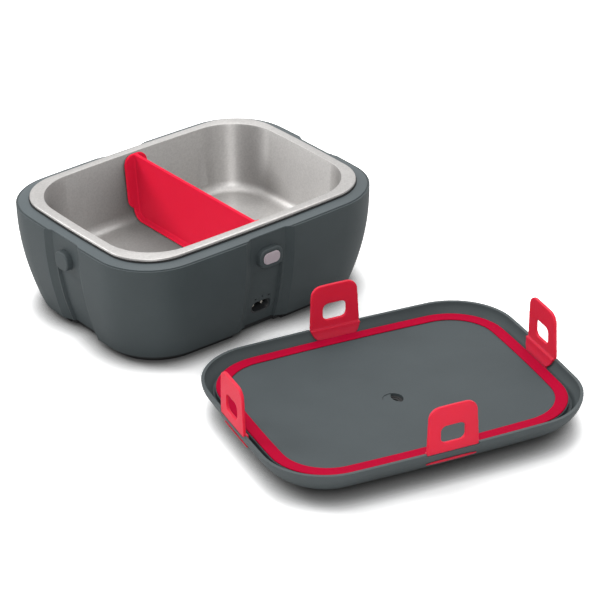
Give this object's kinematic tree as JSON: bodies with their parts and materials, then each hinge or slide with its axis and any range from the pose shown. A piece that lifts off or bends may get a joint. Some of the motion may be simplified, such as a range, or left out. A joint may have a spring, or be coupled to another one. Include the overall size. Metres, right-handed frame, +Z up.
{
  "type": "electric lunch box",
  "caption": "Electric lunch box: tapered heated base, steel dish with red divider, and a shallow lid with red strap latches lying upturned beside it.",
  "frame": {"origin": "centre of the base's footprint at the level the feet stand on", "axes": "+X along the base's long side, -Y out of the side with the power button and inlet, +Z up"},
  "size_m": [0.2737, 0.4675, 0.0948],
  "materials": {
    "shell": "fine matte slate grey plastic",
    "rim": "satin lighter slate grey plastic",
    "gasket": "matte black rubber",
    "plinth": "matte near-black plastic",
    "feet": "matte black rubber",
    "screw": "zinc plated",
    "tub": "drawn aluminium",
    "plate": "cast and machined",
    "insulator": "ceramic-like thermoset",
    "shield": "thin tinned sheet",
    "heater": "sheathed heater tube",
    "board": "green glass-epoxy board",
    "component": "moulded component bodies",
    "socket": "black thermoset",
    "pin": "nickel plated",
    "button": "translucent pale grey, slightly pink",
    "lamp": "clear lens",
    "steel": "satin stainless with fine brushing",
    "silicone": "smooth bright red silicone",
    "strap": "smooth slightly translucent red silicone",
    "lid": "fine matte slate grey plastic",
    "panel": "matte slate grey plastic",
    "foam": "closed-cell foam"
  },
  "bodies": {
    "base": {"lower_shell": "shell", "rim_frame": "rim", "flange_gasket": "gasket", "bottom_plate": "plinth", "rubber_feet": "feet", "bottom_screws": "screw", "inner_tub": "tub", "heating_plate": "plate", "plate_posts": "insulator", "heat_shield": "shield", "heater_element": "heater", "thermostat": "insulator", "thermal_fuse": "shield", "temperature_sensor": "shield", "control_board": "board", "board_parts": "component", "power_socket": "socket", "socket_pins": "pin", "button_housing": "shell", "stud_left": "shell", "stud_right": "shell", "stud_rear": "shell", "button_switch": "component", "indicator_led": "lamp"},
    "dish": {"dish": "steel"},
    "divider": {"divider": "silicone"},
    "power_button": {"power_button": "button"},
    "lid": {"lid_cover": "lid", "lid_panel": "panel", "lid_seal": "silicone", "lid_insulation": "foam", "vent_tube": "lid", "vent_tab": "button", "strap_front": "strap", "strap_right": "strap", "strap_rear": "strap", "strap_left": "strap"},
    "latch_front": {"latch_front": "strap"},
    "latch_right": {"latch_right": "strap"},
    "latch_rear": {"latch_rear": "strap"},
    "latch_left": {"latch_left": "strap"}
  },
  "joints": [
    {"name": "lid_lift", "type": "slide", "parent": "base", "child": "lid", "axis": [0, 0, 1], "range_m": [0, 0.15]},
    {"name": "dish_lift", "type": "slide", "parent": "base", "child": "dish", "axis": [0, 0, 1], "range_m": [0, 0.12]},
    {"name": "divider_lift", "type": "slide", "parent": "dish", "child": "divider", "axis": [0, 0, 1], "range_m": [0, 0.09]},
    {"name": "power_button_press", "type": "slide", "parent": "base", "child": "power_button", "axis": [0, 1, 0], "range_m": [0, 0.0012], "stiffness_N_per_m": 500},
    {"name": "latch_front_flex", "type": "hinge", "parent": "lid", "child": "latch_front", "pos_m": [-0.03345, -0.34723, 0.0315], "axis": [0.969, -0.247, 0], "range_deg": [-5, 90], "stiffness_Nm_per_rad": 0.02},
    {"name": "latch_right_flex", "type": "hinge", "parent": "lid", "child": "latch_right", "pos_m": [0.11348, -0.28252, 0.0315], "axis": [0.247, 0.969, 0], "range_deg": [-5, 90], "stiffness_Nm_per_rad": 0.02},
    {"name": "latch_rear_flex", "type": "hinge", "parent": "lid", "child": "latch_rear", "pos_m": [0.01545, -0.15537, 0.0315], "axis": [-0.969, 0.247, 0], "range_deg": [-5, 90], "stiffness_Nm_per_rad": 0.02},
    {"name": "latch_left_flex", "type": "hinge", "parent": "lid", "child": "latch_left", "pos_m": [-0.13148, -0.22008, 0.0315], "axis": [-0.247, -0.969, 0], "range_deg": [-5, 90], "stiffness_Nm_per_rad": 0.02}
  ]
}
